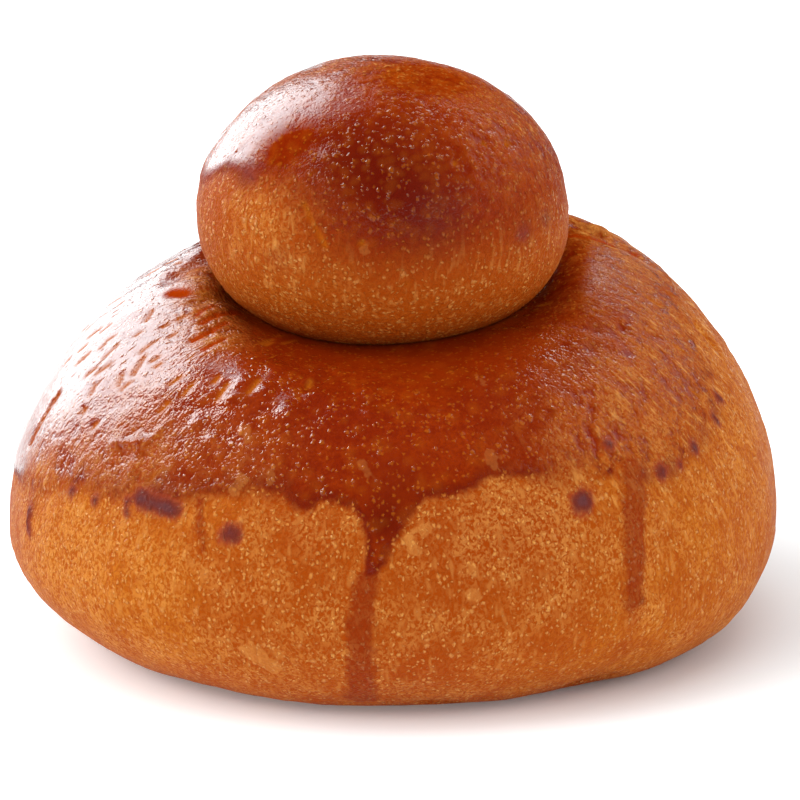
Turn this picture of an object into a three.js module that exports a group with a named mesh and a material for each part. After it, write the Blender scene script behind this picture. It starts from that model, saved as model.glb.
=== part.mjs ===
// A brioche with a topknot: a domed bun, with a smaller ball of dough baked onto it.
//
// The loaf is one closed skin, because the two pieces of dough bake into one. Rings of points start at the
// middle of the flat foot, go out round the rolled edge, over the dome to the seam under the topknot, and
// then round the topknot to its crown. Each ring is worked out from the named sizes below.
//
// Millimetres and degrees, +Z up. The origin is the middle of the foot, and -Y is the front.

import * as THREE from 'three';

// ---- the bun ----

const BUN_RADIUS = 49.8; // mean radius of the widest ring
const BUN_WIDEST_HEIGHT = 14.2; // of that ring above the foot
const BUN_FOOT_RADIUS = 36.2; // where the rolled edge leaves the baking sheet
const BUN_DOME_RISE = 39.2; // of the bare dome above the widest ring
const DOME_FULLNESS = 0.9; // 1 gives a quarter ellipse, less a fuller shoulder
const EDGE_OUT_POWER = 1.25; // how the rolled edge swings out
const EDGE_UP_POWER = 1.1; // and how it lifts

// A hand-rolled ring is its mean size and a few slow waves: the number of crests, their height, and the
// direction in which the first crest points.
const WIDEST_WAVES = [{ crests: 2, height: 1.25, towards: 35 }];
const FOOT_WAVES = [
  { crests: 1, height: 3.0, towards: 52 },
  { crests: 3, height: 1.1, towards: 5 },
];
const DOME_WAVES = [
  { crests: 1, height: 3.0, towards: 78 },
  { crests: 2, height: 1.2, towards: 0 },
];

// Low swells that push the crust out from the heart of the bun.
const HEART_HEIGHT = 20.2;
const BUN_SWELLS = [
  { x: 44, y: -6, z: 30, spread: 12, height: 0.3 }, // right shoulder
  { x: 30, y: 12, z: 46, spread: 14, height: 0.75 }, // behind the topknot, on the right
  { x: 40, y: -28, z: 6, spread: 15, height: 0.85 }, // rolled edge, front right
];
const SWELL_FADE = 0.2; // share of the dome's climb over which a swell dies out below the seam
const FOOT_FADE = 4; // height over which a swell may start to lift or lower the crust

// ---- the topknot ----

const KNOT_RADIUS = 23.8;
const KNOT_HALF_HEIGHT = 18.2;
const KNOT_CENTRE = new THREE.Vector3(-1.3, -6.8, 57.5);
const KNOT_LEAN = -3.4; // turn about +Y, so that it leans to the left

// Swells by direction from the centre of the topknot. A negative height is a flat place.
const KNOT_SWELLS = [
  { azimuth: 205, elevation: -25, spread: 32, height: 0.45 },
  { azimuth: 335, elevation: -25, spread: 32, height: 1.4 },
  { azimuth: 30, elevation: 35, spread: 30, height: -0.75 },
  { azimuth: 0, elevation: 0, spread: 30, height: -1.15 },
  { azimuth: 270, elevation: -35, spread: 34, height: 0.7 },
  { azimuth: 110, elevation: 50, spread: 25, height: 1.1 },
];

// ---- the seam and the hollow that the topknot sits in ----

const FRONT = 270; // the azimuth of -Y
const SEAM_ANGLE = 133; // from the topknot's crown down to the seam
const SEAM_FRONT_DROP = 10; // more at the front, less at the back
const HOLLOW_WIDTH = 3.5; // over which the dome dips to the seam
const HOLLOW_FRONT_WIDTH = 8.5; // more at the front
const HOLLOW_FRONT_SPREAD = 50; // over which that goes away to either side

// Puckers where the dough folded as the topknot was pressed in: valleys that run outwards. Their ends are
// given as azimuth and radius round the topknot's axis.
const PUCKERS = [
  { inner: [163, 22.5], outer: [176, 27], width: 1.6, depth: 0.9 },
  { inner: [178, 18.5], outer: [195, 24], width: 1.4, depth: 0.6 },
  { inner: [32, 26], outer: [25, 30], width: 1.4, depth: 0.9 },
  { inner: [23, 31], outer: [20, 35.5], width: 1.5, depth: 0.9 },
  { inner: [62, 20], outer: [58, 29], width: 1.8, depth: 0.8 },
  { inner: [88, 19], outer: [93, 27], width: 1.9, depth: 1.0 },
  { inner: [121, 20], outer: [117, 31], width: 1.7, depth: 0.9 },
  { inner: [143, 20], outer: [150, 27], width: 1.8, depth: 0.7 },
];
const PUCKER_FADE = 0.06; // share of the climb over which a pucker dies out at the seam

// ---- how finely the skin is cut ----

const COLUMNS = 104;
const FOOT_RINGS = 2;
const EDGE_RINGS = 9;
const DOME_RINGS = 20;
const KNOT_RINGS = 24;

const radians = THREE.MathUtils.degToRad;
const smooth = (share) => THREE.MathUtils.smoothstep(share, 0, 1);
const bell = (distance, spread) => Math.exp(-((distance / spread) ** 2));

// A mean size with its waves, in the direction theta.
function uneven(mean, waves, theta) {
  return waves.reduce(
    (size, wave) => size + wave.height * Math.cos(wave.crests * (theta - radians(wave.towards))),
    mean,
  );
}

const widestRadius = (theta) => uneven(BUN_RADIUS, WIDEST_WAVES, theta);
const footRadius = (theta) => uneven(BUN_FOOT_RADIUS, FOOT_WAVES, theta);
const domeRise = (theta) => uneven(BUN_DOME_RISE, DOME_WAVES, theta);
const frontness = (theta) => Math.cos(theta - radians(FRONT));
const seamAngle = (theta) => radians(SEAM_ANGLE + SEAM_FRONT_DROP * frontness(theta));

// How wide the hollow is: widest at the front, by a bell of the turn away from it.
function hollowWidth(theta) {
  const turned = Math.acos(frontness(theta));
  return HOLLOW_WIDTH + HOLLOW_FRONT_WIDTH * bell(turned, radians(HOLLOW_FRONT_SPREAD));
}

// The unit ray with an azimuth round +Z and an elevation above the level, both in radians.
function rayAt(azimuth, elevation) {
  return new THREE.Vector3(
    Math.cos(elevation) * Math.cos(azimuth),
    Math.cos(elevation) * Math.sin(azimuth),
    Math.sin(elevation),
  );
}

// A point of the topknot, theta round its axis and tilt down from its crown: an ellipsoid, swollen by the
// bells of its swells, then leaned and set in place.
function knotPoint(theta, tilt) {
  const ray = rayAt(theta, Math.PI / 2 - tilt);
  const growth = KNOT_SWELLS.reduce((sum, swell) => {
    const apart = ray.angleTo(rayAt(radians(swell.azimuth), radians(swell.elevation)));
    return sum + (swell.height / KNOT_RADIUS) * bell(apart, radians(swell.spread));
  }, 1);
  return ray
    .multiply(new THREE.Vector3(KNOT_RADIUS, KNOT_RADIUS, KNOT_HALF_HEIGHT))
    .multiplyScalar(growth)
    .applyAxisAngle(new THREE.Vector3(0, 1, 0), radians(KNOT_LEAN))
    .add(KNOT_CENTRE);
}

// The flat foot: a disc, reach going from its middle to its rim.
function footPoint(theta, reach) {
  const radius = reach * footRadius(theta);
  return new THREE.Vector3(radius * Math.cos(theta), radius * Math.sin(theta), 0);
}

// The rolled edge: from the foot's rim out and up to the widest ring, as turn goes from 0 to 1.
function edgePoint(theta, turn) {
  const angle = (turn * Math.PI) / 2;
  const foot = footRadius(theta);
  const radius = foot + (widestRadius(theta) - foot) * Math.sin(angle) ** EDGE_OUT_POWER;
  const height = BUN_WIDEST_HEIGHT * (1 - Math.cos(angle) ** EDGE_UP_POWER);
  return new THREE.Vector3(radius * Math.cos(theta), radius * Math.sin(theta), height);
}

// The dome: from the widest ring up to the seam, as climb goes from 0 to 1. The columns swing towards the
// topknot's off-centre axis on the way, and a bell-shaped hollow takes the dome down to the seam.
function domePoint(theta, climb) {
  const seam = knotPoint(theta, seamAngle(theta));
  const seamTheta = Math.atan2(seam.y, seam.x);
  const seamRadius = Math.hypot(seam.x, seam.y);
  const swing = THREE.MathUtils.euclideanModulo(seamTheta - theta + Math.PI, 2 * Math.PI) - Math.PI;
  const azimuth = theta + swing * smooth(climb);
  const fullAngle = Math.acos((seamRadius / widestRadius(seamTheta)) ** (1 / DOME_FULLNESS));
  const radius = widestRadius(azimuth) * Math.cos(climb * fullAngle) ** DOME_FULLNESS;
  const bareHeight = BUN_WIDEST_HEIGHT + domeRise(azimuth) * Math.sin(climb * fullAngle);
  const bareSeamHeight = BUN_WIDEST_HEIGHT + domeRise(seamTheta) * Math.sin(fullAngle);
  const dip = (seam.z - bareSeamHeight) * bell(radius - seamRadius, hollowWidth(azimuth));
  return new THREE.Vector3(radius * Math.cos(azimuth), radius * Math.sin(azimuth), bareHeight + dip);
}

// The bun's swells. They die out towards the seam, and close to the foot they push sideways alone.
function swellBun(point, climb) {
  const push = BUN_SWELLS.reduce((sum, { x, y, z, spread, height }) => {
    const apart = point.distanceTo(new THREE.Vector3(x, y, z));
    return sum + height * bell(apart, spread);
  }, 0);
  const outwards = point.clone().sub(new THREE.Vector3(0, 0, HEART_HEIGHT)).normalize();
  outwards.z *= smooth(point.z / FOOT_FADE);
  return point.addScaledVector(outwards, push * smooth((1 - climb) / SWELL_FADE));
}

// The end of a pucker, seen from above.
function puckerEnd([azimuth, radius]) {
  return new THREE.Vector2(
    KNOT_CENTRE.x + radius * Math.cos(radians(azimuth)),
    KNOT_CENTRE.y + radius * Math.sin(radians(azimuth)),
  );
}

// The puckers, each a bell-shaped valley along the straight line between its ends.
function pucker(point, climb) {
  const place = new THREE.Vector2(point.x, point.y);
  const fade = smooth((1 - climb) / PUCKER_FADE);
  for (const { inner, outer, width, depth } of PUCKERS) {
    const start = puckerEnd(inner);
    const run = puckerEnd(outer).sub(start);
    const share = THREE.MathUtils.clamp(place.clone().sub(start).dot(run) / run.lengthSq(), 0, 1);
    const apart = place.distanceTo(start.addScaledVector(run, share));
    point.z -= depth * fade * bell(apart, width);
  }
  return point;
}

// One ring of points, counted anticlockwise from +X as seen from above.
function ring(pointAt) {
  return Array.from({ length: COLUMNS }, (_, column) => pointAt((2 * Math.PI * column) / COLUMNS));
}

function loafRings() {
  const rings = [];
  for (let k = 1; k < FOOT_RINGS; k += 1) {
    rings.push(ring((theta) => footPoint(theta, k / FOOT_RINGS)));
  }
  for (let k = 0; k < EDGE_RINGS; k += 1) {
    rings.push(ring((theta) => swellBun(edgePoint(theta, k / EDGE_RINGS), 0)));
  }
  for (let k = 0; k < DOME_RINGS; k += 1) {
    const climb = k / DOME_RINGS;
    rings.push(ring((theta) => pucker(swellBun(domePoint(theta, climb), climb), climb)));
  }
  for (let k = KNOT_RINGS; k > 0; k -= 1) {
    rings.push(ring((theta) => knotPoint(theta, (seamAngle(theta) * k) / KNOT_RINGS)));
  }
  return rings;
}

// A closed skin: the rings joined by quads, each cut in two, with a fan to a single point at either end.
function closedSkin(bottom, rings, top) {
  const points = [bottom, ...rings.flat(), top];
  const last = points.length - 1;
  const at = (row, column) => 1 + row * COLUMNS + (column % COLUMNS);
  const faces = [];
  for (let column = 0; column < COLUMNS; column += 1) {
    faces.push(0, at(0, column + 1), at(0, column));
    for (let row = 0; row + 1 < rings.length; row += 1) {
      const corner = at(row, column);
      const beside = at(row, column + 1);
      const above = at(row + 1, column);
      const across = at(row + 1, column + 1);
      faces.push(corner, beside, across, corner, across, above);
    }
    faces.push(last, at(rings.length - 1, column), at(rings.length - 1, column + 1));
  }
  const geometry = new THREE.BufferGeometry().setFromPoints(points);
  geometry.setIndex(faces);
  geometry.computeVertexNormals();
  return geometry;
}

const eggWashedCrust = new THREE.MeshStandardMaterial({
  name: 'egg-washed crust',
  color: 0xb5602a,
  roughness: 0.38,
  metalness: 0,
});

const brioche = new THREE.Mesh(
  closedSkin(new THREE.Vector3(0, 0, 0), loafRings(), knotPoint(0, 0)),
  eggWashedCrust,
);
brioche.name = 'brioche';

const group = new THREE.Group();
group.add(brioche);

export default group;
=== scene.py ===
"""A brioche with a topknot: an egg-washed bun of rich dough, with a smaller ball baked onto it.

Shapes are worked out in millimetres and put into the meshes in metres. +Z is up, the origin is the middle
of the flat foot, and -Y is the front. Angles are in degrees where they are written down. An azimuth is
counted anticlockwise from +X as seen from above, so 270 is the front.
"""

import math

import bpy
import numpy as np
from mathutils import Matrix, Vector


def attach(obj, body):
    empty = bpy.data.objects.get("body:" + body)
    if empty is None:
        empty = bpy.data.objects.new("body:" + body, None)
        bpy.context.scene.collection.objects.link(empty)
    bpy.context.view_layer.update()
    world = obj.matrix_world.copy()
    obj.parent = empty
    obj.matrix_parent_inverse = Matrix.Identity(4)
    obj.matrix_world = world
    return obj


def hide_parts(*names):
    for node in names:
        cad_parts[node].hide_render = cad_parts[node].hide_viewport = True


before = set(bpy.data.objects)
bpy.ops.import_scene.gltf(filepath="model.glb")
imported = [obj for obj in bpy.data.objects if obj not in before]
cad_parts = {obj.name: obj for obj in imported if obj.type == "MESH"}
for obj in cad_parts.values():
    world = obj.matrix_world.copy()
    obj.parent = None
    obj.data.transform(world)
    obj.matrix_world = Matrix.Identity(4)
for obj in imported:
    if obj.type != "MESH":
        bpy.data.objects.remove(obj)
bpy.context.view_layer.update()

bl_info = {
    "name": "Brioche with a topknot",
    "version": (1, 0, 0),
    "blender": (4, 5, 0),
    "location": "3D View > Sidebar > Brioche",
    "description": "Makes an egg-washed brioche with a topknot, and a plain stage for it",
    "category": "Mesh",
}

NODE = "brioche"
MM = 0.001

# ---- the bun, in millimetres and degrees ----

EDGE_OUT_POWER = 1.25
EDGE_UP_POWER = 1.1
DOME_FULLNESS = 0.9
# Waves round a ring: the number of crests, their height, and the azimuth of the first crest.
WIDEST_WAVES = [(2, 1.25, 35)]
FOOT_WAVES = [(1, 3.0, 52), (3, 1.1, 5)]
DOME_WAVES = [(1, 3.0, 78), (2, 1.2, 0)]
HEART_HEIGHT = 20.2
# Swells that push the crust out from the heart: x, y, z, spread, height.
BUN_SWELLS = [(44, -6, 30, 12, 0.3), (30, 12, 46, 14, 0.75), (40, -28, 6, 15, 0.85)]
SWELL_FADE = 0.2
FOOT_FADE = 4

# ---- the topknot ----

KNOT_CENTRE = np.array([-1.3, -6.8, 57.5])
KNOT_LEAN = -3.4
# Swells by direction from the centre: azimuth, elevation, spread, height.
KNOT_SWELLS = [
    (205, -25, 32, 0.45), (335, -25, 32, 1.4), (30, 35, 30, -0.75), (0, 0, 30, -1.15),
    (270, -35, 34, 0.7), (110, 50, 25, 1.1),
]

# ---- the seam between them ----

FRONT = 270
SEAM_ANGLE = 133
SEAM_FRONT_DROP = 10
HOLLOW_WIDTH = 3.5
HOLLOW_FRONT_WIDTH = 8.5
HOLLOW_FRONT_SPREAD = 50
TUCK = 1.05  # the dome's climb where it ends, hidden inside the topknot

# Puckers in the dome: azimuth and radius of both ends round the topknot's axis, width, depth.
PUCKERS = [
    ((163, 22.5), (176, 27), 1.6, 0.9), ((178, 18.5), (195, 24), 1.4, 0.6),
    ((32, 26), (25, 30), 1.4, 0.9), ((23, 31), (20, 35.5), 1.5, 0.9), ((62, 20), (58, 29), 1.8, 0.8),
    ((88, 19), (93, 27), 1.9, 1), ((121, 20), (117, 31), 1.7, 0.9), ((143, 20), (150, 27), 1.8, 0.7),
]
PUCKER_FADE = 0.06

# ---- marks on the bun, by direction from its heart: azimuth, elevation ----
# A soft spot is its azimuth, elevation, spread, and strength or height. A line is both ends, half its width
# and its depth, and one that is a mere point leaves out its second end.

# The lower edge of the egg wash.
GLAZE_EDGE = [
    (2, 32), (14, 34), (30, 32), (46, 26), (60, 19), (78, 13), (96, 10), (112, 8.5), (130, 6), (150, 4.5),
    (170, 2.5), (185, 1.5), (196, 2.5), (205, 3), (210, 5), (216, 6.8), (222, 7), (229, 7.9), (237, 8.4),
    (241, 10), (248, 11.2), (253, 11.3), (255, 9.8), (256.5, 9.3), (258, 10), (259, 11.2), (263, 10.3),
    (269, 10.5), (273, 11.2), (281, 12.1), (285, 13.9), (290, 13.8), (297, 11.8), (302, 12.1),
    (308, 11.6), (316, 10.1), (321, 10.5), (328, 13.4), (337, 16), (343, 20), (350, 26.7), (356, 30.5),
]
# Runs of egg wash: azimuth, elevation and half width along each.
GLAZE_RUNS = [
    [(268.6, 11, 4.2), (268.6, 8.5, 2.7), (268.2, 5.9, 1.8), (267.6, 3.1, 1.4), (266.9, 1.3, 0.9)],
    [(204.7, 2.5, 0.9), (204.5, -0.9, 0.8), (205.7, -2.4, 0.6)],
    [(88, 12, 3.4), (89, 8, 2), (89.5, 2, 1.5), (90, -4, 1.1)],
    [(139, 6, 2.6), (140, 2, 1.4), (140.5, -3, 1)],
]
# Thin runs that only stain the crust.
STAIN_RUNS = [
    [(266.9, 2, 1.2), (265.6, -4, 1.7), (265.2, -8.2, 1.7), (265.1, -13.5, 1.9), (264.5, -20.5, 2.1)],
    [(310.8, 12, 2), (308.1, 3.7, 1.8), (307.3, -0.5, 1.7), (306.9, -5.9, 1.6)],
    [(240, 9.3, 0.6), (241.1, 6.2, 0.5), (242, 3.3, 0.4)],
    [(90, -3, 1.3), (91, -12, 1.8), (91, -20, 2)],
    [(24, 24, 2.2), (24, 12, 1.7), (25, 2, 1.1)],
]
# Dark beads and smears where the wash pooled, with their radius.
BEADS = [
    ((215.3, 6.6), 0.8), ((221.3, 6.2), 0.85), ((227.6, 7.3), (228, 6.2), 0.6),
    ((230.2, 8.1), (236.4, 7.5), 1.15), ((246.1, 5.4), 1.35), ((300.1, 9.1), 1.55), ((307.9, 17), 0.75),
    ((316.3, 10.6), (316.7, 10.7), 0.95), ((320.9, 11), 0.65), ((326, 12.6), 0.85),
    ((334.8, 15.6), (335.6, 14.9), 0.5), ((339.4, 18), (340.2, 17), 0.6),
    ((204.6, 0.5), (204.9, -1.6), 0.7), ((121, 5), (123, 5.4), 1), ((66, 12), 1.2),
]
# Pale flakes, with half their width. The one from (12, 55) to (17, 47) is the crest behind the topknot on
# the right: partly its own pale crust, partly painted light where the topknot shades it.
FLAKES_AND_PAINTED_LIGHT = [
    ((243.6, 20.9), (245.2, 19.3), 0.7), ((265.2, 16.6), (266, 15.2), 0.6),
    ((250.5, 15.2), (250.6, 13), 0.6), ((245.8, 13.2), (245.2, 11.8), 0.9),
    ((288, 31.9), (289, 30.9), 0.4), ((285.9, 16.4), (286.4, 17.3), 0.9), ((271.4, 6), (272.7, 4.6), 0.8),
    ((274.2, 7.4), (274.8, 7), 0.8), ((276.4, 0.2), 0.6), ((280.8, 1.3), 0.7), ((281.2, -2), 0.9),
    ((279.8, -4.5), 0.8), ((227.5, -6), 0.8), ((249.3, -10.5), (252.4, -14), 1.1),
    ((212.7, -3.4), (212.7, -6.6), 0.5), ((12, 55), (17, 47), 1.3),
]
# Dark orange patches of the bare crust.
SCORCHES = [
    (228, -15, 2.4, 0.5), (306.8, -4, 1.5, 0.8), (306.5, -8.5, 1.8, 0.9), (307, -14.5, 2.2, 0.8),
    (331.5, -6.7, 1.4, 0.7), (241, 2, 2, 0.4), (292, 2, 7, 0.35), (262, -3, 4, 0.35), (279, 1, 7, 0.5),
    (272, -12, 10, 0.4), (250, 0, 8, 0.3), (258, 7, 5, 0.8), (276, 8, 5, 0.8), (285, 8, 5, 0.8),
    (293, 8, 4, 0.6), (274, -14, 6, 0.6), (240, -22, 5, 0.6), (255, -23, 5, 0.6), (270, -23, 5, 0.4),
]
# Where the wash is thin and the crust's blisters show through. (17, 50) is the crest behind the topknot on
# the right, partly its own crust and partly painted light where the topknot shades it; (193, 48), (211, 43)
# and (224, 37) paint highlights on the washed ridges left of the topknot.
THIN_WASH_AND_PAINTED_LIGHT = [
    (228, 13, 8, 0.7), (214, 9, 7, 0.5), (246, 14, 6, 0.35), (303, 14, 8, 0.6), (316, 18, 11, 0.8),
    (335, 24, 12, 0.8), (352, 30, 13, 0.8), (8, 46, 8, 0.7), (17, 50, 5, 1), (193, 48, 4, 1),
    (211, 43, 5, 1), (224, 37, 4, 0.9), (203, 7, 6, 0.8), (20, 33, 12, 0.7), (50, 27, 12, 0.6),
    (90, 16, 9, 0.5), (150, 9, 8, 0.5),
]
# Where the egg wash baked darkest.
BURNT = [(250, 45, 6, 0.5), (283, 33, 6, 0.3), (270, 13, 5, 0.5), (268.4, 8, 2.6, 0.7), (300, 45, 6, 0.4)]
# Where the stretched skin tore into fine slits.
TORN = [
    (205, 42, 9, 0.6), (205, 30, 9, 0.9), (222, 26, 8, 0.8), (235, 36, 7, 0.7), (185, 30, 10, 0.8),
    (165, 25, 10, 0.7), (335, 35, 8, 0.4), (20, 40, 9, 0.5), (100, 32, 10, 0.7),
]
# Where the bare crust is lighter and yellower, or darker where the strength is below 0. (16, 48) is the
# crest behind the topknot on the right, partly its own golden crust and partly painted light where the
# topknot shades it; (200, 45) and (222, 40) paint highlights on the washed ridges left of the topknot.
GOLDEN = [
    (215, -2, 13, 1), (235, -6, 9, 0.5), (330, -2, 13, 0.8), (302, -12, 9, 0.6), (10, 2, 14, 0.5),
    (90, 0, 14, 0.4), (16, 48, 7, 1), (200, 45, 9, 1), (222, 40, 7, 0.8), (350, 17, 9, 0.9),
    (272, -4, 13, -1), (288, -6, 9, -0.6),
]
# Purplish bruises, where a little wash soaked in.
BRUISED = [
    (225, 8.5, 1.8, 0.25), (233, 9.5, 2.6, 0.35), (330, 14, 1.6, 0.25), (302, 15, 1.6, 0.2),
    (313.5, 11, 1.3, 0.35), (318.5, 11, 1.6, 0.4), (326, 12.6, 1.4, 0.3), (337, 15.8, 1.4, 0.3),
    (322.9, 37.3, 1.4, 0.35), (317.4, 34.2, 1.2, 0.3), (312.9, 31.9, 1.2, 0.25),
]
# Where the bare crust is densely covered in pale grains, or sparsely where the strength is below 0.
# (17, 50) is the crest behind the topknot on the right, partly its own crust and partly painted light where
# the topknot shades it; (194, 48), (211, 43) and (225, 37) paint highlights on the washed ridges left of it.
FROSTED = [
    (289, 9, 6, 0.85), (300, 0, 9, 0.5), (318, 4, 8, 0.5), (224, 0, 9, 0.5), (205, -6, 7, 0.5),
    (60, 4, 12, 0.8), (130, -3, 12, 0.7), (300, -12, 9, -0.8), (320, -2, 11, -0.6), (17, 50, 4, 1),
    (194, 48, 5, 1), (211, 43, 5, 1), (225, 37, 4.5, 1), (309, -8, 2.5, 0.8), (318, -14, 3, 0.8),
]
# Slits and dents that can be told apart on the shoulders.
SLITS = [
    ((201.4, 36.3), (203, 34.3), 0.4, 0.3), ((213.8, 28.6), (215, 25.6), 0.42, 0.3),
    ((212.2, 24.8), (213.4, 22.8), 0.38, 0.25), ((206.9, 21.5), (207.7, 19.9), 0.38, 0.2),
    ((209.1, 17.4), (209.1, 17), 0.6, 0.25), ((194.8, 8.4), (195.8, 17), 0.6, 0.5),
    ((353.8, 27.5), (354, 23.5), 0.8, 0.4),
]
# Open folds beside the topknot, where the dough shows without egg wash.
FOLDS = [
    ((198.5, 41.2), (202.3, 42.6), 1, 0.4), ((217.3, 38.8), (215.8, 41.9), 0.42, 0.25),
    ((215.8, 41.9), (211, 46), 0.5, 0.25), ((213.6, 40.2), (210.6, 43.6), 0.36, 0.2),
    ((220.7, 34.6), (221.7, 38.1), 0.4, 0.25), ((221.7, 38.1), (219.5, 41.5), 0.36, 0.2),
    ((225.5, 33.5), (226, 37.5), 0.36, 0.2), ((2.6, 54), (4.1, 46.6), 0.45, 0.3),
    ((4.1, 46.6), (11.9, 40.1), 0.45, 0.3),
]
# Where the egg wash dried dull.
DRIED = [
    (320, 45, 2.5, 0.7), (330, 47.5, 3, 1), (341, 50, 3.2, 1), (351, 52, 3.2, 1), (2, 53, 3, 1),
    (16, 50, 4.5, 1), (190, 47, 2.4, 0.8), (326, 42, 6, 0.8), (316, 38, 4, 0.5),
]
# Painted light in the collar round the topknot: a lighter, redder colour that stands in for the light that
# the topknot's shade keeps off. It shares the folds' mark, so the egg wash is dull there too.
COLLAR_PAINTED_LIGHT = [
    (214, 47, 2.6, 0.6), (226, 46, 2.8, 0.8), (240, 44, 4, 0.5), (254, 41, 5, 0.4), (272, 40, 6, 0.35),
    (290, 39, 6, 0.35), (305, 41, 5, 0.35),
]
# Low bulges.
BULGES = [
    (221.2, 14.7, 1.6, 0.35), (226.1, 15.7, 1.2, 0.25), (242.6, 33.4, 1.4, 0.4), (244.1, 28.6, 1, 0.3),
    (250.6, 24.5, 1.5, 0.5), (254, 28.6, 1.2, 0.4), (264, 29.7, 1.2, 0.4), (265.7, 25.1, 1.1, 0.4),
    (238.8, 28.9, 1.2, 0.3), (238.6, 25.7, 1, 0.3), (234.3, 20.3, 1, 0.3), (238.3, 18.4, 1, 0.3),
]
# Dents, and low ridges where the depth is below 0.
RIDGES = [
    ((221.2, 14.7), (226.1, 15.7), 0.5, -0.35), ((226.1, 15.7), (227.1, 9.7), 0.5, -0.35),
    ((227.2, 15), (229, 19.4), 0.4, -0.25), ((252.2, 29.7), (255, 33.9), 0.7, 0.3),
    ((251, 31.5), (253, 34.5), 0.5, -0.25), ((279, 35.1), (282.2, 31.8), 0.7, 0.25),
    ((328, 35.1), (328.4, 34.5), 1.2, 0.35), ((334.7, 32.4), (335.2, 31.6), 1.2, 0.3),
    ((322.9, 37.3), (322, 36.3), 1.1, 0.35), ((317.4, 34.2), (316.8, 33.4), 1, 0.3),
    ((18, 54), (16.5, 47.5), 1.2, -0.3), ((16.5, 47.5), (20, 42), 0.9, -0.2),
    ((184.4, 41.9), (188.5, 46.5), 0.7, -0.2), ((307.9, -6.1), (310.8, -7.6), 0.6, -0.25),
    ((310.8, -7.6), (322.5, -16.7), 0.7, -0.22), ((309, -7.2), (308.8, -15), 0.6, -0.2),
    ((275.5, -24.5), (281, -26), 1, 0.5), ((304, -25), (311, -23.5), 1.2, 0.4),
    ((246, -25), (251, -26), 1, 0.3),
]

# ---- marks on the topknot, by direction from its centre ----

KNOT_GLAZE_EDGE = [
    (0, 4), (25, -2), (55, -8), (90, -6), (120, 0), (150, 4), (175, 6), (193, 8.2), (202, 12.9),
    (207, 15.8), (220, 15.4), (228, 15.3), (237, 11), (245, 3), (254, -5.8), (269, -8.4), (287, -5.8),
    (306, -2.9), (313, -1.9), (322, 1.7), (329, 3), (342, 6), (355, 6.3),
]
KNOT_BEADS = [((218, 18), (223.8, 16), 0.3), ((313.2, -0.6), (315.4, 0.1), 0.3)]
KNOT_PITS = [
    ((319.8, 26.9), 0.6, 0.5), ((308.3, 28.4), 0.35, 0.3), ((294.3, 23.3), 0.35, 0.3),
    ((264.1, 0.3), 0.4, 0.35), ((277, -12.4), 0.4, 0.3), ((245.6, 10.3), (252.9, -0.9), 0.35, 0.25),
]
KNOT_BURNT = [(270, 20, 10, 0.7), (282, 8, 6, 0.4), (256, 28, 7, 0.3)]
KNOT_BRUISED = [
    (287, 8, 4, 0.25), (220, 17, 2, 0.6), (207, 16, 1.2, 0.35), (315, 0, 1.4, 0.5), (326, 2, 1.2, 0.5),
    (237, -6, 2, 0.2),
]
KNOT_FROSTED = [(235, 3, 9, 1), (330, 3, 8, 0.6)]
KNOT_GOLDEN = [(235, 0, 10, 0.8), (205, -5, 9, 0.6)]
KNOT_THIN = [
    (240, 4, 6, 0.5), (330, 30, 10, 0.7), (350, 45, 10, 0.4), (183, 18, 2.6, 0.8), (175, 26, 3.2, 0.9),
    (165, 38, 4.2, 0.9), (154, 52, 5, 0.9), (150, 63, 5, 0.9), (190, 78, 5, 0.8), (275, 73, 5, 0.7),
    (90, 70, 9, 0.7), (110, 40, 12, 0.6),
]
KNOT_DRIED = [
    (322, 60, 10, 1), (275, 68, 7, 0.4), (252, 40, 7, 0.4), (229, 24, 4, 0.9), (238, 32, 4, 0.6),
]
# Where the edge of the egg wash is sharp.
KNOT_SHARP = [(203, 20, 9, 1)]
KNOT_FLAKES = [
    ((264.4, -1.2), (264.8, -1.6), 0.4), ((233.1, -2.5), (233.3, -2.7), 0.5), ((236.7, -2.7), 0.4),
    ((229.1, -8.7), 0.4),
]
KNOT_BULGES = [(250.4, 25.4, 1.3, 0.2), (243.3, 33.6, 0.8, 0.15)]

# ---- the studio ----

# The large softbox stands behind on the left, brightest towards its front edge. Its panes: azimuth,
# elevation, half the angle that each covers across and up, and how bright it is.
SOFTBOX_PANES = [
    (73, 38, 7, 10, 2), (100, 31, 6, 11, 1.2), (122, 60, 14, 8, 0.9), (117, 10, 11, 16, 1.7),
    (117, 38, 11, 12, 2.4), (134, 16, 6, 13, 2.6), (145, 21, 5, 8, 2.2), (139, 41, 11, 12, 3.2),
    (156, 42, 6, 15, 4),
]

# The floor's glow is painted light: it fades towards this point, in metres, where the bun's shadow is
# deepest, and close round the foot, painting the bun's shadow on the floor.
SHADOW_MIDDLE = (0.030, 0.020, 0)

# Where the camera stands and what it looks at: millimetres, degrees, and metres away.
CAMERA_TARGET = (0.7, 0, 29.7)
CAMERA_ELEVATION = 15
CAMERA_AWAY = 0.5
CAMERA_LENS = 172.1
SENSOR_WIDTH = 36

# ---- how finely each skin is cut ----

BUN_COLUMNS = 540
FOOT_ROWS = 9
EDGE_ROWS = 44
DOME_ROWS = 118
TUCK_ROWS = 4
KNOT_COLUMNS = 430
KNOT_ROWS = 224


# ---- small tools for shapes ----

def smooth(share):
    """0 below 0, 1 above 1, and an even S curve between them."""
    share = np.clip(share, 0, 1)
    return share * share * (3 - 2 * share)


def bell(distance, spread):
    """1 in the middle, falling away as exp(-(distance / spread) squared)."""
    return np.exp(-((distance / spread) ** 2))


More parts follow.
